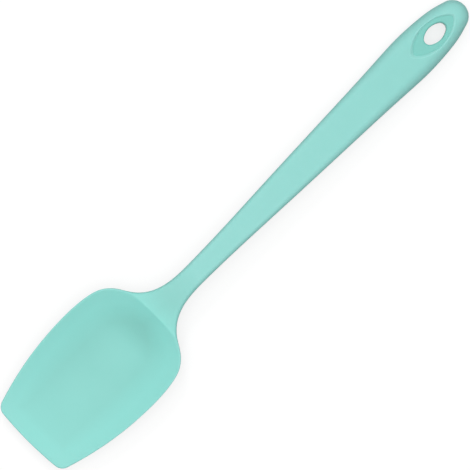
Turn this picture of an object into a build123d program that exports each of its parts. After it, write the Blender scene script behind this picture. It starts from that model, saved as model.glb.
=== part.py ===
from build123d import *
import math
import os

# A spoon-shaped silicone spatula, moulded in one piece round a flat steel core.
# It lies on its back with the bowl upwards: X runs from the blade's tip to the hanging end, Z is up.
# Places are measured along X from the blade's tip, heights from the table, all in millimetres.

# Plan outline
overall_length = 270.0
tip_width = 38.6
tip_bow = 1.15
tip_lean = 18.0
tip_corner_radius = 5.0
blade_width = 54.9
widest_place = 48.0
crease_place = 78.4
fan_length = 26.1
neck_width = 10.2
grip_width = 20.8
grip_from_end = 31.0
nose_radius = 7.2
nose_lean = 17.0

# Outline points between those places, as shares of the run along X and of the step in half width
blade_side_shares = [(0.40, 0.625)]
shoulder_shares = [(0.255, 0.039), (0.380, 0.136), (0.470, 0.339), (0.531, 0.580), (0.620, 0.806), (0.745, 0.945)]
taper_shares = [(0.336, 0.290), (0.648, 0.616), (0.8825, 0.879)]
grip_end_shares = [(0.417, 0.155), (0.754, 0.497)]

# Side view of the handle
fan_height = 12.0
neck_height = 14.2
neck_thickness = 8.2
grip_thickness = 11.5
end_height = 11.0
end_underside = 0.3
nose_fall = 5.0
handle_fullness_share = 0.8
fan_fullness_share = 0.9
# Front over the blade: place as a share of the crease's, height as a share of the fan's
front_shares = [(0.0, 1.05), (0.6, 1.12), (0.85, 1.08), (1.0, 1.0)]
# Front of the fan: share of its length and of its rise to the neck
fan_rise_shares = [(0.5, 0.45)]

# Bowl, stations from tip to crease: place as a share of the crease's, floor and rim as shares of the fan's height
bowl_shares = [
    (0.000, 0.583, 0.650),
    (0.255, 0.350, 0.755),
    (0.612, 0.233, 0.892),
    (0.765, 0.262, 0.945),
    (0.842, 0.371, 0.963),
    (0.893, 0.513, 0.972),
    (0.944, 0.721, 0.978),
    (0.982, 0.908, 1.000),
    (1.000, 1.000, 1.050),
    (1.046, 1.250, 1.290),
]
# Back of the bowl: place as a share of the crease's, height as a share of the fan's
back_shares = [(0.0, 0.467), (0.255, 0.163), (0.612, 0.0), (0.842, 0.083), (1.0, 0.275), (1.148, 0.442)]
rim_wall = 1.5
rim_end_share = 0.95
rim_bevel = 0.5
crease_round = 1.0

# Hanging hole and the almond recess round it, on both faces
hole_length = 11.7
hole_width = 7.1
hole_end_radius = 2.6
hole_from_end = 18.1
hole_bevel = 0.7
recess_length = 27.4
recess_width = 13.2
recess_from_end = 19.3
recess_depth = 1.3
recess_draft = 48.0
recess_corner = 1.2
recess_bevel = 0.4

# Steel core
core_thickness = 2.0
core_crease_gap = 0.1
core_recess_gap = 0.5
core_neck_wall = 2.1
core_tongue_width = 11.0
core_tongue_length = 7.0
core_tongue_corner = 3.0
core_tongue_depth = 4.1
core_tongue_hole_place = 4.5
core_end_width = 12.0
core_end_round_share = 0.45
core_bend_radius = 90.0
core_hole_diameter = 3.6
core_hole_count = 5
core_hole_pitch = 16.0
core_last_hole_from_end = 9.0

# How far the rounded skin stands outside the plan outline, before the outline trims it
handle_margin = 0.12
blade_margin = 4.0
blade_margin_shares = [(0.0, 1.0), (0.9, 1.0), (1.1, 0.25)]
nose_slack_share = 0.935
overrun = 6.0
# How dished the back is across the blade, at shares of the crease's place: 1 is a parabola, 0 a full round
dish_shares = [(0.0, 1.0), (0.85, 1.0), (1.0, 0.7), (1.15, 0.25)]

# Where sections stand along the side of the outline, and along the fall of the nose
blade_station_shares = [0.0, 0.06, 0.12, 0.18, 0.21, 0.235]
shoulder_station_shares = [0.25, 0.262, 0.274, 0.286, 0.298, 0.31, 0.322, 0.336, 0.352, 0.37, 0.395]
handle_station_shares = [0.43, 0.48, 0.55, 0.62, 0.69, 0.76, 0.82, 0.87, 0.91, 0.94, 0.965, 0.985]
nose_station_shares = [0.06, 0.35, 0.6, 0.8, 0.92, 0.985]
search_share = 1e-6

neck_place = crease_place + fan_length
grip_place = overall_length - grip_from_end
hole_place = overall_length - hole_from_end


def smooth(place, knots):
    """Value at a place, on a cubic through (place, value) knots that takes its slopes from their neighbours."""
    slopes = []
    for k in range(len(knots)):
        before, after = knots[max(k - 1, 0)], knots[min(k + 1, len(knots) - 1)]
        slopes.append((after[1] - before[1]) / (after[0] - before[0]))
    k = 0
    while k < len(knots) - 2 and place > knots[k + 1][0]:
        k += 1
    run = knots[k + 1][0] - knots[k][0]
    t = min(max((place - knots[k][0]) / run, 0), 1)
    start = knots[k][1] * (1 + 2 * t) * (1 - t) ** 2 + slopes[k] * run * t * (1 - t) ** 2
    end = knots[k + 1][1] * (3 - 2 * t) * t**2 - slopes[k + 1] * run * (1 - t) * t**2
    return start + end


def between(start, end, shares):
    """Points on the way from start to end, at shares of the run and of the step."""
    return [(start[0] + (end[0] - start[0]) * run, start[1] + (end[1] - start[1]) * step) for run, step in shares]


def across(place):
    """Plane square to X at a place: its own X is the spatula's Y, and its own Y is up."""
    return Plane(origin=(place, 0, 0), x_dir=(0, 1, 0), z_dir=(1, 0, 0))


def side_curve():
    """Left side of the plan outline, from the tip's corner to the start of the round nose."""
    corner = (tip_bow, tip_width / 2)
    widest = (widest_place, blade_width / 2)
    neck = (neck_place, neck_width / 2)
    grip = (grip_place, grip_width / 2)
    lean = math.radians(nose_lean)
    nose = (overall_length - nose_radius * (1 - math.sin(lean)), nose_radius * math.cos(lean))
    points = [corner, *between(corner, widest, blade_side_shares), widest]
    points += [*between(widest, neck, shoulder_shares), neck]
    points += [*between(neck, grip, taper_shares), grip]
    points += [*between(grip, nose, grip_end_shares), nose]
    start_way = (math.cos(math.radians(tip_lean)), math.sin(math.radians(tip_lean)))
    end_way = (math.cos(lean), -math.sin(lean))
    return Spline(*points, tangents=[start_way, end_way])


def half_width(side, place):
    """Half width of the plan at a place, found by halving the stretch of the side that holds it."""
    low, high = 0, 1
    while high - low > search_share:
        share = (low + high) / 2
        if (side @ share).X < place:
            low = share
        else:
            high = share
    return (side @ low).Y


def plan_prism(side):
    """Straight-walled block with the spatula's plan outline."""
    tip = ThreePointArc((tip_bow, -tip_width / 2), (0, 0), (tip_bow, tip_width / 2))
    start = side @ 1
    nose = ThreePointArc(start, (overall_length, 0), (start.X, -start.Y))
    outline = make_face([tip, side, nose, mirror(side, about=Plane.XZ)])
    outline = fillet(outline.vertices().sort_by(Axis.X)[:2], tip_corner_radius)
    return Pos(0, 0, -overrun) * extrude(outline, neck_height + 2 * overrun)


def front_line():
    """Side view of the front, as (place, height): above the bowl's rim it is only cut away."""
    crease, neck = (crease_place, fan_height), (neck_place, neck_height)
    line = [(place * crease_place, height * fan_height) for place, height in front_shares]
    line += [*between(crease, neck, fan_rise_shares), neck]
    line.append(((neck_place + grip_place) / 2, (neck_height + grip_thickness) / 2))
    line.append((grip_place, grip_thickness))
    line.append((overall_length - nose_radius, end_height))
    return line


def back_line():
    """Side view of the back, as (place, height): the belly and the grip touch the table."""
    line = [(place * crease_place, height * fan_height) for place, height in back_shares]
    line.append((neck_place, neck_height - neck_thickness))
    line.append(((neck_place + grip_place) / 2, (neck_height - neck_thickness) / 2))
    line.append((grip_place, 0))
    line.append((hole_place, 0))
    line.append((overall_length - nose_radius, end_underside))
    return line


def edge_line():
    """Side view of the widest line, as (place, height): under the blade's rim, then halfway up the handle."""
    bowl = [row for row in bowl_shares if row[0] < rim_end_share]
    line = [(place * crease_place, rim * fan_height - rim_wall) for place, floor, rim in bowl]
    line.append((neck_place, neck_height - neck_thickness / 2))
    line.append((grip_place, grip_thickness / 2))
    line.append((overall_length - nose_radius, (end_height + end_underside) / 2))
    return line


def skin_section(place, half, front, edge, back, fullness, dish):
    """Cross-section of four cubic quarters: full or round in front, round or dished behind."""
    corner = (half, edge)
    front_handles = [(half * fullness, front), (half, edge + (front - edge) * fullness)]
    reach = fullness + (1 / 3 - fullness) * dish
    rise = fullness + (2 / 3 - fullness) * dish
    back_handles = [(half * (1 - dish / 3), edge + (back - edge) * rise), (half * reach, back)]
    upper = Bezier((0, front), *front_handles, corner)
    lower = Bezier(corner, *back_handles, (0, back))
    left_side = [mirror(lower, about=Plane.YZ), mirror(upper, about=Plane.YZ)]
    return across(place) * make_face([upper, lower, *left_side])


def skin(side):
    """Rounded block of the whole spatula, a margin wider than its plan and with the bowl not yet scooped."""
    dish_law = [(place * crease_place, dish) for place, dish in dish_shares]
    dish_law += [(neck_place, 0), (grip_place, 0)]
    full_law = [(0, fan_fullness_share), (crease_place, fan_fullness_share)]
    full_law += [(neck_place, handle_fullness_share), (grip_place, handle_fullness_share)]
    margin_law = [(place * crease_place, share * blade_margin) for place, share in blade_margin_shares]
    margin_law += [(neck_place, handle_margin), (grip_place, handle_margin)]
    front, back, edge = front_line(), back_line(), edge_line()
    tip_half = tip_width / 2 + blade_margin - overrun * math.tan(math.radians(tip_lean))
    sections = [skin_section(-overrun, tip_half, front[0][1], edge[0][1], back[0][1], fan_fullness_share, 1)]
    for share in [*blade_station_shares, *shoulder_station_shares, *handle_station_shares]:
        point, way = side @ share, side % share
        margin = smooth(point.X, margin_law)
        place, half = point.X - way.Y * margin, point.Y + way.X * margin
        heights = [smooth(place, line) for line in (front, edge, back)]
        sections.append(skin_section(place, half, *heights, smooth(place, full_law), smooth(place, dish_law)))
    end_middle, end_half_height = (end_height + end_underside) / 2, (end_height - end_underside) / 2
    for share in nose_station_shares:
        place = overall_length - nose_fall + (nose_fall + handle_margin) * share
        along = (place - overall_length + nose_radius) * nose_slack_share
        half = math.sqrt((nose_radius + handle_margin) ** 2 - along**2)
        rise = end_half_height * math.sqrt(1 - share**2)
        levels = (end_middle + rise, end_middle, end_middle - rise)
        sections.append(skin_section(place, half, *levels, handle_fullness_share, 0))
    return loft(sections)


def scoop(side):
    """Cutter whose underside is the bowl: parabolas across, lowest at the belly and steepest at the crease."""
    ceiling = neck_height + overrun
    rows = [(-overrun / crease_place, *bowl_shares[0][1:]), *bowl_shares]
    sections = []
    for place_share, floor_share, rim_share in rows:
        place = place_share * crease_place
        half = half_width(side, place)
        reach = half + blade_margin
        floor = floor_share * fan_height
        lift = (rim_share - floor_share) * fan_height * (reach / half) ** 2
        bottom = Bezier((-reach, floor + lift), (0, floor - lift), (reach, floor + lift))
        walls = Polyline((reach, floor + lift), (reach, ceiling), (-reach, ceiling), (-reach, floor + lift))
        sections.append(across(place) * make_face([bottom, walls]))
    return loft(sections)


def hanging_hole():
    """Oval bar that cuts the hanging hole: two end arcs joined by two flatter ones that touch them."""
    half_length, half_width = hole_length / 2, hole_width / 2
    reach = half_length - hole_end_radius
    rest = half_width - hole_end_radius
    side_radius = (reach**2 - rest**2) / (2 * rest) + half_width
    side_drop = side_radius - half_width
    lean = math.atan2(side_drop, reach)
    corner = (reach + hole_end_radius * math.cos(lean), hole_end_radius * math.sin(lean))
    end = ThreePointArc((corner[0], -corner[1]), (half_length, 0), corner)
    flank = ThreePointArc(corner, (0, half_width), (-corner[0], corner[1]))
    oval = make_face([end, flank, mirror(end, about=Plane.YZ), mirror(flank, about=Plane.XZ)])
    return Pos(hole_place, 0, -overrun) * extrude(oval, neck_height + 2 * overrun)


def recess(face, way):
    """Almond-shaped cutter with a level floor and sloping walls, sunk from one face of the handle, way up or down."""
    middle = overall_length - recess_from_end
    shrink = recess_depth * math.tan(math.radians(recess_draft))
    tip, flank = recess_length / 2 - shrink, recess_width / 2 - shrink
    upper = ThreePointArc((-tip, 0), (0, flank), (tip, 0))
    almond = make_face([upper, mirror(upper, about=Plane.XZ)])
    almond = fillet(almond.vertices(), recess_corner)
    cutter = extrude(almond, recess_depth + overrun / 2, taper=-recess_draft)
    floor = smooth(middle, face) - way * recess_depth
    return Plane(origin=(middle, 0, floor), x_dir=(1, 0, 0), z_dir=(0, 0, way)) * cutter


def kinds_at(edge, shape):
    """Kinds of the faces that meet at an edge of a shape."""
    return [face.geom_type for face in shape.faces() if any(edge.is_same(other) for other in face.edges())]


def blade_half(block):
    """Half of the blade and the fan, with a soft round on the crease and a fine bevel on both sides of the rim."""
    blade = split(block, Plane(origin=(neck_place, 0, 0), z_dir=(-1, 0, 0)), keep=Keep.TOP)
    crease = [edge for edge in blade.edges() if set(kinds_at(edge, blade)) == {GeomType.BSPLINE}]
    blade = fillet(crease, crease_round)
    rims = [edge for edge in blade.edges() if GeomType.BSPLINE in kinds_at(edge, blade)]
    walls = {GeomType.EXTRUSION, GeomType.CYLINDER}
    return chamfer([edge for edge in rims if walls & set(kinds_at(edge, blade))], rim_bevel)


def handle_half(block):
    """Half of the handle, from the neck to its round end."""
    return split(block, Plane(origin=(neck_place, 0, 0), z_dir=(1, 0, 0)), keep=Keep.TOP)


def silicone_block():
    """Whole outer form of the silicone: both halves of the blade and the handle, with the hole and the recesses."""
    side = side_curve()
    block = (skin(side) & plan_prism(side)) - scoop(side)
    block = split(block, Plane.XZ, keep=Keep.TOP)
    half = blade_half(block) + handle_half(block)
    whole = half + mirror(half, about=Plane.XZ)
    whole -= recess(front_line(), 1) + recess(back_line(), -1)
    brims = [edge for edge in whole.edges() if GeomType.CONE in kinds_at(edge, whole)]
    whole = chamfer([edge for edge in brims if GeomType.BSPLINE in kinds_at(edge, whole)], recess_bevel)
    whole -= hanging_hole()
    mouths = [edge for edge in whole.edges() if edge.bounding_box().min.X > hole_place - hole_length]
    mouths = [edge for edge in mouths if GeomType.CYLINDER in kinds_at(edge, whole)]
    mouths = [edge for edge in mouths if GeomType.PLANE in kinds_at(edge, whole)]
    return chamfer(mouths, hole_bevel)


def core_blank():
    """Plan of the steel strip: a tongue under the fan, a waist in the neck and a taper to the round end."""
    start = crease_place + core_crease_gap
    end = overall_length - recess_from_end - recess_length / 2 - core_recess_gap
    tongue_end = start + core_tongue_length
    waist_width = neck_width - 2 * core_neck_wall
    upper = [
        (start, core_tongue_width / 2),
        (tongue_end, core_tongue_width / 2),
        (tongue_end + core_tongue_width - waist_width, waist_width / 2),
        (end, core_end_width / 2),
    ]
    lower = [(place, -half) for place, half in reversed(upper)]
    blank = make_face(Polyline(*upper, *lower, close=True))
    blank = fillet(blank.vertices().group_by(Axis.X)[-1], core_end_width * core_end_round_share)
    blank = fillet(blank.vertices().group_by(Axis.X)[0], core_tongue_corner)
    holes = [end - core_last_hole_from_end - core_hole_pitch * k for k in range(core_hole_count)]
    for place in [start + core_tongue_hole_place, *holes]:
        blank -= Pos(place, 0) * Circle(core_hole_diameter / 2)
    return blank


def steel_core():
    """Flat strip, bent once where the fan turns into the neck, and punched with keying holes."""
    start = (crease_place - overrun, fan_height - core_tongue_depth)
    corner = (neck_place, neck_height - neck_thickness / 2)
    end = (grip_place + overrun, grip_thickness / 2)
    path = Plane.XZ * FilletPolyline(start, corner, end, radius=core_bend_radius)
    section = Plane(origin=path @ 0, x_dir=(0, 1, 0), z_dir=path % 0) * Rectangle(blade_width, core_thickness)
    strip = sweep(section, path)
    return strip & (Pos(0, 0, -overrun) * extrude(core_blank(), neck_height + 2 * overrun))


if __name__ == "__main__":
    block, core = silicone_block(), steel_core()
    stand = Pos(-overall_length / 2, 0, -block.bounding_box().min.Z)
    os.makedirs("parts", exist_ok=True)
    export_step(stand * (block - core), "parts/silicone_body.step")
    export_step(stand * core, "parts/steel_core.step")
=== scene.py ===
import math

import bpy
import numpy as np
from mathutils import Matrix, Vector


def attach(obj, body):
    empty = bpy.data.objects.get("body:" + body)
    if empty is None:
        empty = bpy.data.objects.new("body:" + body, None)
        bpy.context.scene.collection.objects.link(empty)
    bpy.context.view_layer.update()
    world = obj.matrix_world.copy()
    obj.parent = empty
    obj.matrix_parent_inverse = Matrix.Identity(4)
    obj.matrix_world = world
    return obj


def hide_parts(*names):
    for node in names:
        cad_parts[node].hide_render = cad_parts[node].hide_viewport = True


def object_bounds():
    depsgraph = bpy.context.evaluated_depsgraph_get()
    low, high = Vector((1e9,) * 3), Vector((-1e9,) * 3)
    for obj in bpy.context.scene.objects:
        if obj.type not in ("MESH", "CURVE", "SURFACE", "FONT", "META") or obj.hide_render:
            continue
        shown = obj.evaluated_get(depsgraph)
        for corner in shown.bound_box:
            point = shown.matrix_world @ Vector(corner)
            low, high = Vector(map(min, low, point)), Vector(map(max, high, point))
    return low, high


bl_info = {
    "name": "Silicone Spatula",
    "version": (1, 0, 0),
    "blender": (4, 5, 0),
    "location": "3D View > Sidebar > Spatula",
    "description": "Builds a one-piece silicone spoon spatula round its steel core, on a pale studio floor",
    "category": "Object",
}

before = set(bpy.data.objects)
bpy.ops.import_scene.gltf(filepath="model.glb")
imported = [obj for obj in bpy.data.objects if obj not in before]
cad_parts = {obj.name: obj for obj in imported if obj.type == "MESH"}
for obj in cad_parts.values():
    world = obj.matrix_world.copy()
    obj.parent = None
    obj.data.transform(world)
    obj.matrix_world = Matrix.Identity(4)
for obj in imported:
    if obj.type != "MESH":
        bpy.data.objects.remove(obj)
CAD_BOX = [list(corner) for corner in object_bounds()]
CAD_LENGTH = CAD_BOX[1][0] - CAD_BOX[0][0]
CAD_WIDTH = CAD_BOX[1][1] - CAD_BOX[0][1]

# Places run along X from the blade's tip, heights are over the table, and lengths are in metres.
# Plan outline, with the side's curves as shares of the run and the step between their ends
TIP_WIDTH = 0.0386
TIP_BOW = 0.00115
TIP_LEAN = math.radians(18)
TIP_CORNER = 0.005
WIDEST_PLACE = 0.048
CREASE_PLACE = 0.0784
FAN_LENGTH = 0.0261
GRIP_FROM_END = 0.031
NOSE_RADIUS = 0.0072
NOSE_LEAN = math.radians(17)
BLADE_SIDE = [(0.40, 0.625)]
SHOULDER = [(0.255, 0.039), (0.380, 0.136), (0.470, 0.339), (0.531, 0.580), (0.620, 0.806), (0.745, 0.945)]
TAPER = [(0.336, 0.290), (0.648, 0.616), (0.8825, 0.879)]
GRIP_END = [(0.417, 0.155), (0.754, 0.497)]

# Side view, with the blade's places as shares of its length and its heights as shares of the fan's
FAN_HEIGHT = 0.012
NECK_HEIGHT = 0.0142
NECK_THICKNESS = 0.0082
GRIP_THICKNESS = 0.0115
END_HEIGHT = 0.011
END_UNDERSIDE = 0.0003
FRONT = [(0.0, 1.05), (0.6, 1.12), (0.85, 1.08), (1.0, 1.0)]
FAN_RISE = [(0.5, 0.45)]
BOWL_PLACES = [0.0, 0.255, 0.612, 0.765, 0.842, 0.893, 0.944, 0.982, 1.0, 1.046]
BOWL_FLOOR = [0.583, 0.350, 0.233, 0.262, 0.371, 0.513, 0.721, 0.908, 1.0, 1.25]
BOWL_RIM = [0.650, 0.755, 0.892, 0.945, 0.963, 0.972, 0.978, 1.0, 1.05, 1.29]
BACK = [(0.0, 0.467), (0.255, 0.163), (0.612, 0.0), (0.842, 0.083), (1.0, 0.275), (1.148, 0.442)]
DISH = [(0.0, 1.0), (0.85, 1.0), (1.0, 0.7), (1.15, 0.25)]
RIM_WALL = 0.0015
RIM_END = 0.95
CROWN = 0.0001
CREASE_SOFTNESS = 0.0003
FAN_FULLNESS = 0.9
HANDLE_FULLNESS = 0.8
BLADE_MARGIN = 0.004
MARGIN_SHARES = [(0.0, 1.0), (0.9, 1.0), (1.1, 0.25)]
HANDLE_MARGIN = 0.00012

# Rounding of the rim: places with their front radius, and the back's radius
FRONT_ROUND = [(0.0, 0.0006), (0.07, 0.0008), (0.085, 0.0013), (0.105, 0.002), (0.15, 0.0022)]
FRONT_ROUND += [(0.2, 0.0032), (0.235, 0.0052), (0.262, 0.006)]
BACK_ROUND = 0.0006

# Hanging hole and recess
HOLE_END_RADIUS = 0.0026
HOLE_FROM_END = 0.0181
HOLE_END_SLACK = 1e-6
HOLE_ROUND = 0.0008
RECESS_LENGTH = 0.0274
RECESS_WIDTH = 0.0132
RECESS_FROM_END = 0.0193
RECESS_DRAFT = math.radians(35)
RECESS_CORNER = 0.001
RECESS_SOFTNESS = 0.0004

# Marks on the skin that its colour follows, which paint sheen, shade and light on it
# Painted sheen: how far the bowl's sides take on the pale colour
BOWL_PAINTED_SHEEN = 0.3
RECESS_FOOT = 0.15
BRIM_REACH = 0.3
# Painted light on the blade: least thickness near the rim, and its growth with the distance in from the rim,
# for the thin-silicone colour
RIM_GLOW = 0.0012
RIM_GLOW_SLOPE = 0.2

# Mesh of the skin: rows from the middle out, and stations along the outline up to each place
CURVE_STEPS = 600
INNER_ROWS = 58
BAND = 0.001
BAND_ROWS = 11
BAND_PULL = 3
WALL_ROWS = 5
STATION_STEPS = [(0.006, 46), (0.066, 50), (0.073, 14), (0.081, 46), (0.092, 18), (0.234, 60)]
RECESS_STEPS, RECESS_PULL = 38, 1.7
HOLE_STEPS = 44
END_STEPS, END_PULL = 40, 1.4
TIP_FOOT = 0.020
TIP_FOOT_END = 0.045
TIP_FOOT_PULL = 0.5
NOSE_FOOT = 0.258
NOSE_FOOT_END = 0.2643
NOSE_FOOT_PULL = 0.5
TURN_PLACE = 0.03
TURN_LENGTH = 0.02
POINT_SLACK = 1e-9
MIDDLE_SLACK = 1e-8

# Finishes
SILICONE_IOR = 1.41
SILICONE_DEPTH = 0.002
SILICONE_DEPTH_SHARES = (0.8, 1.0, 0.95)
SILICONE_GLOW = 0.25
POLISHED_ROUGHNESS, FROSTED_ROUGHNESS = 0.42, 0.62
# Thicknesses over which the painted light of thin silicone fades out
GLOW_THICKNESS = (0.0008, 0.0036)
# How the handle's paler colour fades with its thickness
PALE_THICKNESS = (0.008, 0.012)
PALE_LEAST = 0.6
CLOUD_SPAN = (0.35, 0.65)
SILICONE_BUMP = {"Strength": 0.25, "Distance": 0.00003}
STEEL_STRETCH = (0.03, 1.0, 1.0)
STEEL_GRAIN_SCALE, STEEL_CLOUD_SCALE = 4000.0, 300.0
STEEL_SPAN = (0.3, 0.7)
STEEL_ROUGHNESS = (0.28, 0.42)
STEEL_BUMP = {"Strength": 0.3, "Distance": 0.00002}
GRAIN_SCALE, CLOUD_SCALE = 2500.0, 45.0
GRAIN_DETAIL, CLOUD_DETAIL = 3.0, 2.0
NOISE_ROUGHNESS = 0.55
WHITE = (1.0, 1.0, 1.0, 1.0)

# Numbers of the Mix node's colour sockets, because its other kinds of socket have the same names
MIX_COLOURS = (6, 7)
MIX_RESULT = 2

# Stage: lamps with their place, width and watts, and the camera straight above
FLOOR_HALF = 4.0
FLOOR_GLOW = 0.76
SKY_LIGHT = 0.5
LAMPS = [
    ("overhead_softbox", (0.0, 0.0, 3.0), 3.4, 47.0),
    ("key_softbox", (0.55, 1.05, 1.25), 0.35, 4.0),
]
VIEW_TURN = math.radians(-45.044)
VIEW_CENTRE = (-0.00714, -0.00032, 0.008)
VIEW_WIDTH = 0.20551
VIEW_NEAREST = 0.01
LENS_LENGTH = 400.0
SENSOR_WIDTH = 36.0


def cubic(t, start, end, leave, arrive):
    """Cubic from one value to another over t from 0 to 1, with given speeds at its two ends."""
    curve = start * (1 + 2 * t) * (1 - t) ** 2 + leave * t * (1 - t) ** 2
    return curve + end * (3 - 2 * t) * t**2 - arrive * (1 - t) * t**2


def flow(knots, place):
    """Cubic through (place, value) knots whose slope at a knot is that of the line between its neighbours."""
    places, values = np.array(knots, float).T
    last = len(places) - 1
    ahead = np.minimum(np.arange(last + 1) + 1, last)
    behind = np.maximum(np.arange(last + 1) - 1, 0)
    slopes = (values[ahead] - values[behind]) / (places[ahead] - places[behind])
    k = np.clip(np.searchsorted(places, place, "right") - 1, 0, last - 1)
    run = places[k + 1] - places[k]
    t = np.clip((place - places[k]) / run, 0, 1)
    return cubic(t, values[k], values[k + 1], slopes[k] * run, slopes[k + 1] * run)


def spline(points, start_way, end_way, steps):
    """Cubic spline with even curvature at its points, spaced by distance, with given end directions."""
    points = np.array(points, float)
    gaps = np.diff(points, axis=0)
    runs = np.hypot(*gaps.T)
    count = len(points)
    matrix = np.eye(count)
    right = np.zeros((count, 2))
    right[0], right[-1] = start_way, end_way
    k = np.arange(1, count - 1)
    matrix[k, k - 1], matrix[k, k + 1] = runs[1:], runs[:-1]
    matrix[k, k] = 2 * (runs[:-1] + runs[1:])
    ratio = (runs[1:] / runs[:-1])[:, None]
    right[1:-1] = 3 * (ratio * gaps[:-1] + gaps[1:] / ratio)
    ways = np.linalg.solve(matrix, right)
    t = np.linspace(0, 1, steps)[None, :, None]
    speed = runs[:, None, None]
    curve = cubic(t, points[:-1, None], points[1:, None], ways[:-1, None] * speed, ways[1:, None] * speed)
    return curve.reshape(-1, 2)


def distances(line):
    """Distance along a line of points to each of them."""
    return np.concatenate([[0], np.cumsum(np.hypot(*np.diff(line, axis=0).T))])


def between(start, end, shares):
    """Points on the way from start to end, at shares of the run and of the step."""
    (x, y), (far_x, far_y) = start, end
    return [(x + (far_x - x) * run, y + (far_y - y) * step) for run, step in shares]


def side_line(sizes):
    """Left side of the plan, from the tip's sharp corner to the start of the round nose, as dense points."""
    length = sizes.overall_length
    grip = (length - GRIP_FROM_END, sizes.grip_width / 2)
    neck = (CREASE_PLACE + FAN_LENGTH, sizes.neck_width / 2)
    widest = (WIDEST_PLACE, sizes.blade_width / 2)
    corner = (TIP_BOW, TIP_WIDTH / 2)
    nose = (length - NOSE_RADIUS * (1 - math.sin(NOSE_LEAN)), NOSE_RADIUS * math.cos(NOSE_LEAN))
    points = [corner, *between(corner, widest, BLADE_SIDE), widest, *between(widest, neck, SHOULDER), neck]
    points += [*between(neck, grip, TAPER), grip, *between(grip, nose, GRIP_END), nose]
    start_way = (math.cos(TIP_LEAN), math.sin(TIP_LEAN))
    return spline(points, start_way, (math.cos(NOSE_LEAN), -math.sin(NOSE_LEAN)), CURVE_STEPS)


def half_outline(sizes):
    """Plan outline from the tip's middle round the left side to the end's middle: an arc, a rounded corner,
    the side and the nose's arc, as dense points with their distance along the line and their outward
    directions."""
    side = side_line(sizes)
    bow_radius = (TIP_WIDTH**2 / 4 + TIP_BOW**2) / (2 * TIP_BOW)
    turn = math.pi / 2 - TIP_LEAN - math.asin(TIP_WIDTH / 2 / bow_radius)
    cut = TIP_CORNER * math.tan(turn / 2)
    angle = np.linspace(0, (TIP_WIDTH / 2 - cut) / bow_radius, CURVE_STEPS)
    tip = np.stack([bow_radius * (1 - np.cos(angle)), bow_radius * np.sin(angle)], axis=1)
    side = side[distances(side) > cut]
    speed = TIP_CORNER * 4 * math.tan(turn / 4)
    leave, arrive = (way / np.hypot(*way) * speed for way in (tip[-1] - tip[-2], side[1] - side[0]))
    t = np.linspace(0, 1, CURVE_STEPS)[1:-1, None]
    corner = cubic(t, tip[-1], side[0], leave, arrive)
    angle = np.linspace(math.pi / 2 - NOSE_LEAN, 0, CURVE_STEPS)[1:]
    centre = sizes.overall_length - NOSE_RADIUS
    nose = np.stack([centre + NOSE_RADIUS * np.cos(angle), NOSE_RADIUS * np.sin(angle)], axis=1)
    line = np.concatenate([tip, corner, side, nose])
    apart = np.hypot(*np.diff(line, axis=0).T) > POINT_SLACK
    line = line[np.concatenate([[True], apart])]
    run = distances(line)
    way = np.gradient(line, run, axis=0)
    out = np.stack([-way[:, 1], way[:, 0]], axis=1) / np.hypot(*way.T)[:, None]
    out[0], out[-1] = (-1, 0), (1, 0)
    line[0, 1] = line[-1, 1] = 0
    return line, run, out


def oval_shape(sizes):
    """Reach of the end arcs' centres, drop of the flank arcs' centres and their radius, for the oval hole."""
    reach = sizes.hole_length / 2 - HOLE_END_RADIUS
    rest = sizes.hole_width / 2 - HOLE_END_RADIUS
    drop = (reach**2 - rest**2) / (2 * rest)
    return reach, drop, drop + sizes.hole_width / 2


def oval_distance(sizes, x, y):
    """Distance outside the hole's oval: from the end arc for a point past its join, else from the flank."""
    reach, drop, flank_radius = oval_shape(sizes)
    dx, dy = np.abs(x - sizes.overall_length + HOLE_FROM_END), np.abs(y)
    past_join = dx * drop > reach * (dy + drop)
    end = np.hypot(dx - reach, dy) - HOLE_END_RADIUS
    return np.where(past_join, end, np.hypot(dx, dy + drop) - flank_radius)


def oval_half(sizes, x):
    """Half width of the hole at a place, from its end arc or its flank arc, and zero outside it."""
    reach, drop, flank_radius = oval_shape(sizes)
    dx = np.abs(x - sizes.overall_length + HOLE_FROM_END)
    join = reach + HOLE_END_RADIUS * reach / math.hypot(reach, drop)
    end = np.sqrt(np.maximum(HOLE_END_RADIUS**2 - (dx - reach) ** 2, 0))
    flank = np.sqrt(np.maximum(flank_radius**2 - dx**2, 0)) - drop
    half = np.where(dx > join, end, flank)
    return np.where(sizes.hole_length / 2 - dx < HOLE_END_SLACK, 0, half)


def almond_distance(sizes, x, y):
    """Distance outside the recess floor's almond: two arcs that meet at its points, softened there."""
    shrink = sizes.recess_depth * math.tan(RECESS_DRAFT)
    tip, flank = RECESS_LENGTH / 2 - shrink, RECESS_WIDTH / 2 - shrink
    radius = (tip**2 + flank**2) / (2 * flank)
    dx = x - (sizes.overall_length - RECESS_FROM_END)
    return np.hypot(dx, np.hypot(y, RECESS_CORNER) + radius - flank) - radius


def lower_of(a, b, softness):
    """The lower of two heights, blended by a parabola where they are within the softness of each other."""
    near = np.clip(1 - np.abs(a - b) / softness, 0, 1)
    return np.minimum(a, b) - near**2 * softness / 4


def share_below(a, b, softness):
    """How far a height lies under another: 0 where it is above it, 1 from the softness below it on."""
    return np.clip((b - a) / softness, 0, 1)


def round_drop(distance, radius):
    """Height lost to a quarter round of a radius, at a distance in from its edge."""
    rest = np.clip(radius - distance, 0, radius)
    return radius - np.sqrt(np.maximum(radius**2 - rest**2, 0))


def arc_power(fullness):
    """Power of the superellipse through the middle of a cubic arc whose handles are a share of its sides."""
    return -math.log(2) / np.log((4 + 3 * fullness) / 8)


def along_blade(shares, height=1.0):
    """Knots from shares of the blade's length and of a height."""
    return [(place * CREASE_PLACE, value * height) for place, value in shares]


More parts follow.
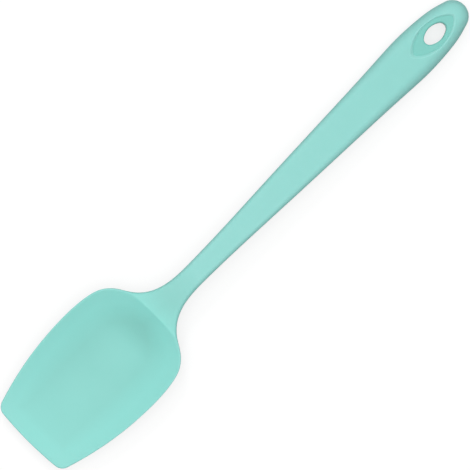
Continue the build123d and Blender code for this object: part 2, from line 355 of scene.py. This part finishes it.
def side_view(sizes):
    """Knots of the front, of the back and of the line between them along the rim, from tip to nose."""
    length = sizes.overall_length
    neck, grip, nose = CREASE_PLACE + FAN_LENGTH, length - GRIP_FROM_END, length - NOSE_RADIUS
    halfway, under_neck = (neck + grip) / 2, NECK_HEIGHT - NECK_THICKNESS
    front = along_blade(FRONT, FAN_HEIGHT)
    front += between((CREASE_PLACE, FAN_HEIGHT), (neck, NECK_HEIGHT), FAN_RISE) + [(neck, NECK_HEIGHT)]
    front += [(halfway, (NECK_HEIGHT + GRIP_THICKNESS) / 2), (grip, GRIP_THICKNESS), (nose, END_HEIGHT)]
    back = along_blade(BACK, FAN_HEIGHT) + [(neck, under_neck), (halfway, under_neck / 2), (grip, 0)]
    back += [(length - HOLE_FROM_END, 0), (nose, END_UNDERSIDE)]
    rims = [(place, rim) for place, rim in zip(BOWL_PLACES, BOWL_RIM) if place < RIM_END]
    edge = [(place, rim - RIM_WALL) for place, rim in along_blade(rims, FAN_HEIGHT)]
    edge += [(neck, (NECK_HEIGHT + under_neck) / 2), (grip, GRIP_THICKNESS / 2)]
    edge.append((nose, (END_HEIGHT + END_UNDERSIDE) / 2))
    return front, back, edge


def heights(sizes, x, y, share, side, inward, radius):
    """Front and back heights over the plan, and the front's finish, which also carries painted light and
    shade: -1 in the polished recess, painted darker as shade, 0 in the middle of the polished bowl with
    painted sheen paling it towards its sides, 1 on the matt handle, which is paler, and up to 2 on the
    recess's brim, painted paler to offset the shading of its wall. The front is the lower of the crowned
    skin and the bowl's parabolas, rounded along the rim, and of the recess. The back is a parabola under
    the blade that turns into a superellipse along the handle, with the recess in it too."""
    front, back, edge = side_view(sizes)
    neck, grip = CREASE_PLACE + FAN_LENGTH, sizes.overall_length - GRIP_FROM_END
    full = [(0, FAN_FULLNESS), (CREASE_PLACE, FAN_FULLNESS), (neck, HANDLE_FULLNESS), (grip, HANDLE_FULLNESS)]
    power = arc_power(flow(full, x))
    dome = np.maximum(1 - share**power, 0) ** (1 / power)
    dish = flow(along_blade(DISH) + [(neck, 0), (grip, 0)], x)
    top = flow(front, x) - CROWN * share**2
    floor, rim = (
        flow(along_blade(zip(BOWL_PLACES, shares), FAN_HEIGHT), x) for shares in (BOWL_FLOOR, BOWL_RIM)
    )
    across = y / np.interp(x, side[:, 0], side[:, 1])
    bowl = floor + (rim - floor) * across**2
    polished = share_below(bowl, top, CREASE_SOFTNESS)
    # Painted sheen: the bowl paler towards its sides
    painted_sheen = BOWL_PAINTED_SHEEN * np.clip(across, 0, 1) ** 2 * polished
    top = lower_of(top, bowl, CREASE_SOFTNESS) - round_drop(inward, radius)
    edge_now, back_now = flow(edge, x), flow(back, x)
    bottom = back_now + (edge_now - back_now) * (dish * share**2 + (1 - dish) * (1 - dome))
    bottom += round_drop(inward, BACK_ROUND)
    rise = np.maximum(almond_distance(sizes, x, y), 0) / math.tan(RECESS_DRAFT) - sizes.recess_depth
    middle = sizes.overall_length - RECESS_FROM_END
    sunk = flow(front, middle) + rise
    # Floor of the recess, whose darker colour is painted shade
    recessed = 1 - share_below(sunk.min(), sunk, RECESS_FOOT * sizes.recess_depth)
    # Brim of the recess, painted paler as painted light to offset the shading of its wall
    brim = np.clip(1 + (top - sunk) / (BRIM_REACH * sizes.recess_depth), 0, 1) * (1 - recessed)
    top = lower_of(top, sunk, RECESS_SOFTNESS)
    bottom = -lower_of(-bottom, -flow(back, middle) + rise, RECESS_SOFTNESS)
    frosted = np.clip((x - CREASE_PLACE) / FAN_LENGTH, 0, 1) * (1 - polished) * (1 - recessed)
    # The finish mark: real roughness, with painted sheen on the bowl, painted light on the brim and painted
    # shade in the recess
    return top, bottom, painted_sheen + frosted + brim - recessed


def spread(start, end, count, pull=1.0):
    """Places from start towards end, which is left out, closer at the start where the pull is over 1."""
    return start + (end - start) * (np.arange(count) / count) ** pull


def station_runs(sizes, line, run):
    """Distances along the outline of the skin's stations, close at the tip's corner, the crease and the hole,
    and the function that gives the distance of a place on the side."""
    side = np.argmax(line[:, 1] > TIP_WIDTH / 2)
    at = lambda place: np.interp(place, line[side:, 0], run[side:])
    middle, half_hole = sizes.overall_length - HOLE_FROM_END, sizes.hole_length / 2
    marks = [0, *at([place for place, steps in STATION_STEPS])]
    parts = [spread(start, end, steps) for start, end, (_, steps) in zip(marks, marks[1:], STATION_STEPS)]
    parts += [marks[-1:], spread(at(middle - half_hole), marks[-1], RECESS_STEPS, RECESS_PULL)[:0:-1]]
    parts.append(at(middle - half_hole * np.cos(np.linspace(0, math.pi, HOLE_STEPS + 1)[:-1])))
    parts += [spread(at(middle + half_hole), run[-1], END_STEPS, END_PULL), run[-1:]]
    return np.concatenate(parts), at


def row_feet(places, stations, at, last):
    """Where the row of each station starts on the middle line: straight across from the rim, and by the tip
    and by the nose along a cubic that keeps the feet off the ends."""
    foot = places.copy()
    tip_run, nose_run = at(TIP_FOOT_END), at(NOSE_FOOT)
    tip, nose = stations < tip_run, stations > nose_run
    pull = TIP_FOOT_PULL * (TIP_FOOT_END - TIP_FOOT)
    foot[tip] = cubic(stations[tip] / tip_run, TIP_FOOT, TIP_FOOT_END, pull, tip_run)
    length, pull = last - nose_run, NOSE_FOOT_PULL * (NOSE_FOOT_END - NOSE_FOOT)
    foot[nose] = cubic((stations[nose] - nose_run) / length, NOSE_FOOT, NOSE_FOOT_END, length, pull)
    return foot


def skin_surface(sizes):
    """Half of the skin as a grid: stations along the outline, and rows from the middle line out over the
    front to the rim, down it and back in under the back. Each row runs straight in plan from a foot on the
    middle line, or from the hole, to a band along the rim that follows the rim's own direction. With it
    come the front's finish, which also carries painted shade, sheen and light, and the thickness that the
    colour follows: the skin's own, and on the blade no more than the larger of a least thickness and a
    share of the distance in from the rim, so that the colour paints light shining through near the rim."""
    line, run, out = half_outline(sizes)
    side = side_line(sizes)
    stations, at = station_runs(sizes, line, run)
    rim, way = (np.stack([np.interp(stations, run, path[:, k]) for k in (0, 1)]) for path in (line, out))
    way /= np.hypot(*way)
    foot = row_feet(rim[0], stations, at, run[-1])
    middle = np.stack([foot, 0 * foot])
    start = np.stack([foot, oval_half(sizes, foot)])
    ring = rim - way * BAND
    reach = np.sum((rim - middle) * way, axis=0)
    u = np.linspace(0, 1, INNER_ROWS)[:, None]
    v = (1 - np.arange(1, BAND_ROWS + 1) / BAND_ROWS)[:, None] ** BAND_PULL
    x, y = (np.concatenate([a + (b - a) * u, c - d * BAND * v]) for a, b, c, d in zip(start, ring, rim, way))
    inner = np.hypot(x - foot, y)[:INNER_ROWS] / np.hypot(*(ring - middle)) * (1 - BAND / reach)
    share = np.concatenate([inner, 1 - BAND * v / reach])
    margins = along_blade(MARGIN_SHARES, BLADE_MARGIN)
    margins += [(CREASE_PLACE + FAN_LENGTH, HANDLE_MARGIN), (sizes.overall_length, HANDLE_MARGIN)]
    margin = flow(margins, x)
    across = np.abs(y) / (np.interp(x, side[:, 0], side[:, 1]) + margin)
    turned = cubic(np.clip((x - TURN_PLACE) / TURN_LENGTH, 0, 1), 0, 1, 0, 0)
    inward = (1 - share) * reach
    share = across + (share * reach / (reach + margin) - across) * turned
    top, bottom, finish = heights(sizes, x, y, share, side, inward, flow(FRONT_ROUND, rim[0]))
    thickness = top - bottom
    blade = 1 - np.clip((x - CREASE_PLACE) / FAN_LENGTH, 0, 1)
    # On the blade the thickness is held down near the rim, so that the thin-silicone colour paints light
    # there
    seen = np.minimum(thickness, np.maximum(RIM_GLOW, inward * RIM_GLOW_SLOPE))
    seen = thickness + (seen - thickness) * blade
    mouth = round_drop(oval_distance(sizes, x, y), HOLE_ROUND)
    mouth = np.where(x > NOSE_FOOT - RECESS_LENGTH, mouth, 0)
    return x, y, top - mouth, bottom + mouth, seen, finish


def quads_of(grid):
    """Quads between neighbouring rows and stations of a grid of point numbers."""
    return np.stack([grid[:-1, :-1], grid[:-1, 1:], grid[1:, 1:], grid[1:, :-1]], axis=-1).reshape(-1, 4)


def closed_skin(sizes):
    """Points, quads, thickness and finish of the whole skin: the half grid with the hole's wall, and its
    mirror image, joined along the middle line."""
    x, y, top, bottom, thickness, finish = skin_surface(sizes)
    inside = np.flatnonzero(y[0] > 0)
    inside = np.arange(inside[0] - 1, inside[-1] + 2)
    wall = np.linspace(0, 1, WALL_ROWS)[1:-1, None]
    rise = bottom[0, inside] + (top[0, inside] - bottom[0, inside]) * wall
    flat = 0 * rise
    rows = lambda front, back, hole: np.concatenate([front.ravel(), back[::-1].ravel(), hole.ravel()])
    points = [rows(x, x, x[0, inside] + flat), rows(y, y, y[0, inside] + flat), rows(top, bottom, rise)]
    points = np.stack(points, axis=1)
    marks = [rows(thickness, thickness, thickness[0, inside] + flat), rows(finish, finish, flat)]
    grid = np.arange(2 * x.size).reshape(-1, x.shape[1])
    tube = np.arange(rise.size).reshape(rise.shape) + 2 * x.size
    tube = np.concatenate([grid[-1:, inside], tube, grid[:1, inside]])
    quads = np.concatenate([quads_of(grid), quads_of(tube)])
    points[np.abs(points[:, 1]) < MIDDLE_SLACK, 1] = 0
    numbers = np.arange(len(points))
    twin = np.where(points[:, 1] == 0, numbers, numbers + len(points))
    quads = np.concatenate([quads, twin[quads[:, ::-1]]])
    points = np.concatenate([points, points * (1, -1, 1)])
    used, quads = np.unique(quads, return_inverse=True)
    points = points[used]
    points[:, 0] += CAD_BOX[0][0]
    points[:, 2] += CAD_BOX[0][2] - points[:, 2].min()
    return points, quads.reshape(-1, 4), np.tile(np.stack(marks), 2)[:, used]


def add_node(tree, kind, settings=None, sockets=None):
    """A node of a kind, with its settings and the values of its sockets by name."""
    node = tree.nodes.new(kind)
    for name, value in (settings or {}).items():
        setattr(node, name, value)
    for name, value in (sockets or {}).items():
        node.inputs[name].default_value = value
    return node


def grain_group():
    """Fine moulded grain and a broad, faint clouding, read at a point: both are noise about one half."""
    name = "Fine grain and clouding"
    if name in bpy.data.node_groups:
        return bpy.data.node_groups[name]
    tree = bpy.data.node_groups.new(name, "ShaderNodeTree")
    tree.interface.new_socket("Vector", in_out="INPUT", socket_type="NodeSocketVector")
    for socket, value in (("Grain Scale", GRAIN_SCALE), ("Cloud Scale", CLOUD_SCALE)):
        tree.interface.new_socket(socket, in_out="INPUT", socket_type="NodeSocketFloat").default_value = value
    for socket in ("Grain", "Cloud"):
        tree.interface.new_socket(socket, in_out="OUTPUT", socket_type="NodeSocketFloat")
    entry, leave = tree.nodes.new("NodeGroupInput"), tree.nodes.new("NodeGroupOutput")
    for output, detail in (("Grain", GRAIN_DETAIL), ("Cloud", CLOUD_DETAIL)):
        noise = add_node(tree, "ShaderNodeTexNoise", sockets={"Detail": detail, "Roughness": NOISE_ROUGHNESS})
        tree.links.new(entry.outputs["Vector"], noise.inputs["Vector"])
        tree.links.new(entry.outputs[output + " Scale"], noise.inputs["Scale"])
        tree.links.new(noise.outputs["Fac"], leave.inputs[output])
    return tree


def new_material(name):
    """An empty material with a Principled shader joined to its output, and that shader."""
    material = bpy.data.materials.new(name)
    material.use_nodes = True
    tree = material.node_tree
    tree.nodes.clear()
    shader, output = tree.nodes.new("ShaderNodeBsdfPrincipled"), tree.nodes.new("ShaderNodeOutputMaterial")
    tree.links.new(shader.outputs[0], output.inputs["Surface"])
    return material, tree, shader


def blend_colours(tree, mask, low, high):
    """Colour socket that goes from one colour or socket to another with a mask."""
    mix = add_node(tree, "ShaderNodeMix", settings={"data_type": "RGBA"})
    tree.links.new(mask, mix.inputs[0])
    for colour, number in zip((low, high), MIX_COLOURS):
        if isinstance(colour, bpy.types.NodeSocket):
            tree.links.new(colour, mix.inputs[number])
        else:
            mix.inputs[number].default_value = (*colour, 1.0)
    return mix.outputs[MIX_RESULT]


def ramp(tree, value, low, high, out_low=0.0, out_high=1.0):
    """Value socket mapped in a straight line from one range to another, and held at its ends."""
    limits = {"From Min": low, "From Max": high, "To Min": out_low, "To Max": out_high}
    node = add_node(tree, "ShaderNodeMapRange", sockets=limits)
    tree.links.new(value, node.inputs["Value"])
    return node.outputs["Result"]


def combine(tree, operation, first, second):
    """Value socket that joins two others by a Math node's operation."""
    node = add_node(tree, "ShaderNodeMath", settings={"operation": operation})
    tree.links.new(first, node.inputs[0])
    tree.links.new(second, node.inputs[1])
    return node.outputs[0]


def add_grain(tree, place, shader, bump_sizes):
    """The grain group read at a place, with its grain as the shader's bump."""
    grain = add_node(tree, "ShaderNodeGroup", settings={"node_tree": grain_group()})
    tree.links.new(place, grain.inputs["Vector"])
    bump = add_node(tree, "ShaderNodeBump", sockets=bump_sizes)
    tree.links.new(grain.outputs["Grain"], bump.inputs["Height"])
    tree.links.new(bump.outputs["Normal"], shader.inputs["Normal"])
    return grain


def silicone_material(looks):
    """Satin silicone: mint with a faint clouding and a fine moulded grain, painted darker in the polished
    recess as shade, painted lighter where it is thin and near the blade's rim as light shining through,
    paler on the handle, with painted sheen on the bowl's sides, and palest on the recess's brim as
    painted light."""
    material, tree, shader = new_material("mint_silicone")
    place = tree.nodes.new("ShaderNodeTexCoord").outputs["Object"]
    grain = add_grain(tree, place, shader, SILICONE_BUMP)
    # The finish mark also carries the painted shade of the recess, painted sheen on the bowl and painted
    # light on the brim
    thick, finish = (
        add_node(tree, "ShaderNodeAttribute", settings={"attribute_name": name}).outputs["Fac"]
        for name in ("thickness", "finish_and_painted_light")
    )
    pale = combine(tree, "MULTIPLY", finish, ramp(tree, thick, *PALE_THICKNESS, 1.0, PALE_LEAST))
    cloud = ramp(tree, grain.outputs["Cloud"], *CLOUD_SPAN)
    body = blend_colours(tree, cloud, looks.silicone_shade, looks.silicone_colour)
    # Painted shade: the recess round the hole is coloured darker
    body = blend_colours(tree, ramp(tree, finish, -1.0, 0.0), looks.silicone_recess_shade, body)
    # Painted light: thin silicone, and the blade near its rim, lighter as though light shone through
    body = blend_colours(tree, ramp(tree, thick, *GLOW_THICKNESS, 1.0, 0.0), body, looks.silicone_thin_glow)
    # Paler handle, and painted sheen paling the bowl's sides
    body = blend_colours(tree, pale, body, looks.silicone_pale_and_sheen)
    # Painted light: the recess's brim painted palest to offset the shading of its wall
    body = blend_colours(tree, ramp(tree, finish, 1.0, 2.0), body, looks.silicone_brim_light)
    rough = ramp(tree, finish, 0.0, 1.0, POLISHED_ROUGHNESS, FROSTED_ROUGHNESS)
    tree.links.new(body, shader.inputs["Base Color"])
    tree.links.new(rough, shader.inputs["Roughness"])
    shader.inputs["IOR"].default_value = SILICONE_IOR
    shader.inputs["Subsurface Weight"].default_value = SILICONE_GLOW
    shader.inputs["Subsurface Radius"].default_value = SILICONE_DEPTH_SHARES
    shader.inputs["Subsurface Scale"].default_value = SILICONE_DEPTH
    return material


def steel_material(looks):
    """Rolled stainless strip: fine streaks along its length in the roughness, the colour and the bump."""
    material, tree, shader = new_material("rolled_steel")
    place = tree.nodes.new("ShaderNodeTexCoord").outputs["Object"]
    stretch = add_node(tree, "ShaderNodeMapping", sockets={"Scale": STEEL_STRETCH})
    tree.links.new(place, stretch.inputs["Vector"])
    grain = add_grain(tree, stretch.outputs["Vector"], shader, STEEL_BUMP)
    grain.inputs["Grain Scale"].default_value = STEEL_GRAIN_SCALE
    grain.inputs["Cloud Scale"].default_value = STEEL_CLOUD_SCALE
    streak = ramp(tree, grain.outputs["Grain"], *STEEL_SPAN)
    streaks = blend_colours(tree, streak, looks.steel_shade, looks.steel_colour)
    rough = ramp(tree, grain.outputs["Cloud"], *STEEL_SPAN, *STEEL_ROUGHNESS)
    tree.links.new(streaks, shader.inputs["Base Color"])
    tree.links.new(rough, shader.inputs["Roughness"])
    shader.inputs["Metallic"].default_value = 1.0
    return material


def floor_material(looks):
    """Matt paper: seen as white with its shadows kept, and dark in the light that it throws back."""
    material, tree, shader = new_material("studio_paper")
    path = tree.nodes.new("ShaderNodeLightPath")
    seen = combine(tree, "MAXIMUM", path.outputs["Is Camera Ray"], path.outputs["Is Glossy Ray"])
    colour = blend_colours(tree, seen, looks.floor_bounce, looks.floor_colour)
    tree.links.new(colour, shader.inputs["Base Color"])
    tree.links.new(ramp(tree, seen, 0.0, 1.0, 0.0, FLOOR_GLOW), shader.inputs["Emission Strength"])
    shader.inputs["Emission Color"].default_value = WHITE
    shader.inputs["Roughness"].default_value = 1.0
    shader.inputs["Specular IOR Level"].default_value = 0.0
    return material


def length_of(name, description, default):
    """A length that the user can change."""
    return bpy.props.FloatProperty(name=name, description=description, default=default, unit="LENGTH")


def colour_of(name, description, default):
    """A colour that the user can change."""
    return bpy.props.FloatVectorProperty(
        name=name, description=description, size=3, subtype="COLOR", default=default
    )


class SpatulaSizes(bpy.types.PropertyGroup):
    """Sizes of the silicone skin"""

    overall_length: length_of("Overall Length", "From the blade's tip to the hanging end", CAD_LENGTH)
    blade_width: length_of("Blade Width", "Widest part of the blade", CAD_WIDTH)
    neck_width: length_of("Neck Width", "Narrowest part of the handle", 0.0102)
    grip_width: length_of("Grip Width", "Widest part of the handle", 0.0208)
    hole_length: length_of("Hole Length", "Length of the oval hanging hole", 0.0117)
    hole_width: length_of("Hole Width", "Width of the oval hanging hole", 0.0071)
    recess_depth: length_of("Recess Depth", "Depth of the almond recess round the hole", 0.0013)


class SpatulaLooks(bpy.types.PropertyGroup):
    """Colours of the spatula and of the studio"""

    silicone_colour: colour_of("Silicone", "Mint of the thick silicone", (0.253, 0.634, 0.572))
    silicone_shade: colour_of("Silicone Shade", "Darker clouding", (0.24, 0.615, 0.553))
    # Painted light where thin silicone would let light through
    silicone_thin_glow: colour_of("Thin Silicone Glow", "Where light shines through", (0.285, 0.745, 0.68))
    # Painted shade: darker colour of the recess round the hole
    silicone_recess_shade: colour_of("Recess Painted Shade", "Painted shade in the recess round the hole", (0.208, 0.588, 0.527))
    # Painted light: palest colour, on the recess's brim
    silicone_brim_light: colour_of("Brim Painted Light", "Painted light on the recess's brim, palest skin", (0.35, 0.74, 0.69))
    # Paler handle skin, and painted sheen on the bowl's sides
    silicone_pale_and_sheen: colour_of("Pale Silicone and Sheen", "Paler skin of the handle, and painted sheen on the bowl's sides", (0.315, 0.707, 0.657))
    steel_colour: colour_of("Steel", "Bright streaks of the core", (0.66, 0.66, 0.68))
    steel_shade: colour_of("Steel Shade", "Dull streaks of the core", (0.5, 0.5, 0.52))
    floor_colour: colour_of("Floor", "Floor as the camera sees it", (0.27, 0.27, 0.27))
    floor_bounce: colour_of("Floor Bounce", "Colour of the light off the floor", (0.04, 0.04, 0.04))


class SPATULA_OT_silicone_skin(bpy.types.Operator):
    """Build the silicone skin with its bowl, fan, handle, recesses and hanging hole"""

    bl_idname = "spatula.silicone_skin"
    bl_label = "Silicone Skin"

    def execute(self, context):
        points, quads, marks = closed_skin(context.scene.spatula_sizes)
        mesh = bpy.data.meshes.new("silicone_skin")
        mesh.from_pydata(points, [], quads)
        # The finish mark written here also carries painted shade, painted sheen and painted light
        for name, values in zip(("thickness", "finish_and_painted_light"), marks):
            mesh.attributes.new(name, "FLOAT", "POINT").data.foreach_set("value", values.astype(np.float32))
        mesh.shade_smooth()
        if mesh.validate(verbose=True):
            raise RuntimeError("the skin's mesh had faults")
        mesh.materials.append(silicone_material(context.scene.spatula_looks))
        skin = bpy.data.objects.new("silicone_skin", mesh)
        context.scene.collection.objects.link(skin)
        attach(skin, "root")
        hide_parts("silicone_body")
        return {"FINISHED"}


class SPATULA_OT_core_finish(bpy.types.Operator):
    """Give the steel core inside the handle its rolled finish"""

    bl_idname = "spatula.core_finish"
    bl_label = "Core Finish"

    def execute(self, context):
        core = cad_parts["steel_core"]
        core.data.materials.clear()
        core.data.materials.append(steel_material(context.scene.spatula_looks))
        return {"FINISHED"}


class SPATULA_OT_stage(bpy.types.Operator):
    """Set the white floor, the soft lamps, the sky and the camera straight above"""

    bl_idname = "spatula.stage"
    bl_label = "Studio Stage"

    def execute(self, context):
        add_floor(context.scene)
        for lamp in LAMPS:
            add_lamp(context.scene, *lamp)
        set_sky(context.scene)
        add_camera(context.scene)
        context.scene.view_settings.view_transform = "Standard"
        return {"FINISHED"}


def add_floor(scene):
    """Square sheet of paper on the table."""
    corners = [(x * FLOOR_HALF, y * FLOOR_HALF, 0) for x, y in ((-1, -1), (1, -1), (1, 1), (-1, 1))]
    mesh = bpy.data.meshes.new("studio_floor")
    mesh.from_pydata(corners, [], [(0, 1, 2, 3)])
    mesh.materials.append(floor_material(scene.spatula_looks))
    floor = bpy.data.objects.new("studio_floor", mesh)
    scene.collection.objects.link(floor)


def aim(place, target):
    """Turn that points a lamp's -Z from its place to a target."""
    x, y, z = (t - p for t, p in zip(target, place))
    return (math.acos(-z / math.sqrt(x * x + y * y + z * z)), 0, math.atan2(y, x) - math.pi / 2)


def add_lamp(scene, name, place, width, watts):
    """Round softbox at a place, aimed at the spatula."""
    lamp = bpy.data.lights.new(name, "AREA")
    lamp.shape = "DISK"
    lamp.size = width
    lamp.energy = watts
    light = bpy.data.objects.new(name, lamp)
    light.location = place
    light.rotation_euler = aim(place, VIEW_CENTRE)
    scene.collection.objects.link(light)


def set_sky(scene):
    """Even sky that is seen as white, also in reflections and through clear pieces, with a weaker light."""
    world = scene.world or bpy.data.worlds.new("studio_world")
    scene.world = world
    world.use_nodes = True
    tree = world.node_tree
    tree.nodes.clear()
    path = tree.nodes.new("ShaderNodeLightPath")
    seen = combine(tree, "MAXIMUM", path.outputs["Is Camera Ray"], path.outputs["Is Glossy Ray"])
    seen = combine(tree, "MAXIMUM", seen, path.outputs["Is Transmission Ray"])
    sky = add_node(tree, "ShaderNodeBackground", sockets={"Color": WHITE})
    tree.links.new(ramp(tree, seen, 0.0, 1.0, SKY_LIGHT, 1.0), sky.inputs["Strength"])
    output = tree.nodes.new("ShaderNodeOutputWorld")
    tree.links.new(sky.outputs[0], output.inputs["Surface"])


def add_camera(scene):
    """Long lens straight above, turned so that the spatula lies on the picture's diagonal."""
    lens = bpy.data.cameras.new("photo_camera")
    lens.lens = LENS_LENGTH
    lens.sensor_width = SENSOR_WIDTH
    lens.clip_start = VIEW_NEAREST
    camera = bpy.data.objects.new("photo_camera", lens)
    distance = VIEW_WIDTH * LENS_LENGTH / SENSOR_WIDTH
    camera.location = (VIEW_CENTRE[0], VIEW_CENTRE[1], VIEW_CENTRE[2] + distance)
    camera.rotation_euler = (0, 0, VIEW_TURN)
    scene.collection.objects.link(camera)
    scene.camera = camera


class SPATULA_PT_sidebar(bpy.types.Panel):
    """Sizes, colours and the pieces' buttons"""

    bl_label = "Silicone Spatula"
    bl_idname = "SPATULA_PT_sidebar"
    bl_space_type = "VIEW_3D"
    bl_region_type = "UI"
    bl_category = "Spatula"

    def draw(self, context):
        for group in (context.scene.spatula_sizes, context.scene.spatula_looks):
            box = self.layout.box()
            for name in group.__annotations__:
                box.prop(group, name)
        for piece in OPERATORS:
            self.layout.operator(piece.bl_idname)


OPERATORS = (SPATULA_OT_silicone_skin, SPATULA_OT_core_finish, SPATULA_OT_stage)
CLASSES = (SpatulaSizes, SpatulaLooks, *OPERATORS, SPATULA_PT_sidebar)


def register():
    for cls in CLASSES:
        bpy.utils.register_class(cls)
    bpy.types.Scene.spatula_sizes = bpy.props.PointerProperty(type=SpatulaSizes)
    bpy.types.Scene.spatula_looks = bpy.props.PointerProperty(type=SpatulaLooks)


def unregister():
    del bpy.types.Scene.spatula_looks
    del bpy.types.Scene.spatula_sizes
    for cls in reversed(CLASSES):
        bpy.utils.unregister_class(cls)


def main():
    """Build the whole scene."""
    register()
    bpy.ops.spatula.silicone_skin()
    bpy.ops.spatula.core_finish()
    bpy.ops.spatula.stage()


if __name__ == "__main__":
    main()
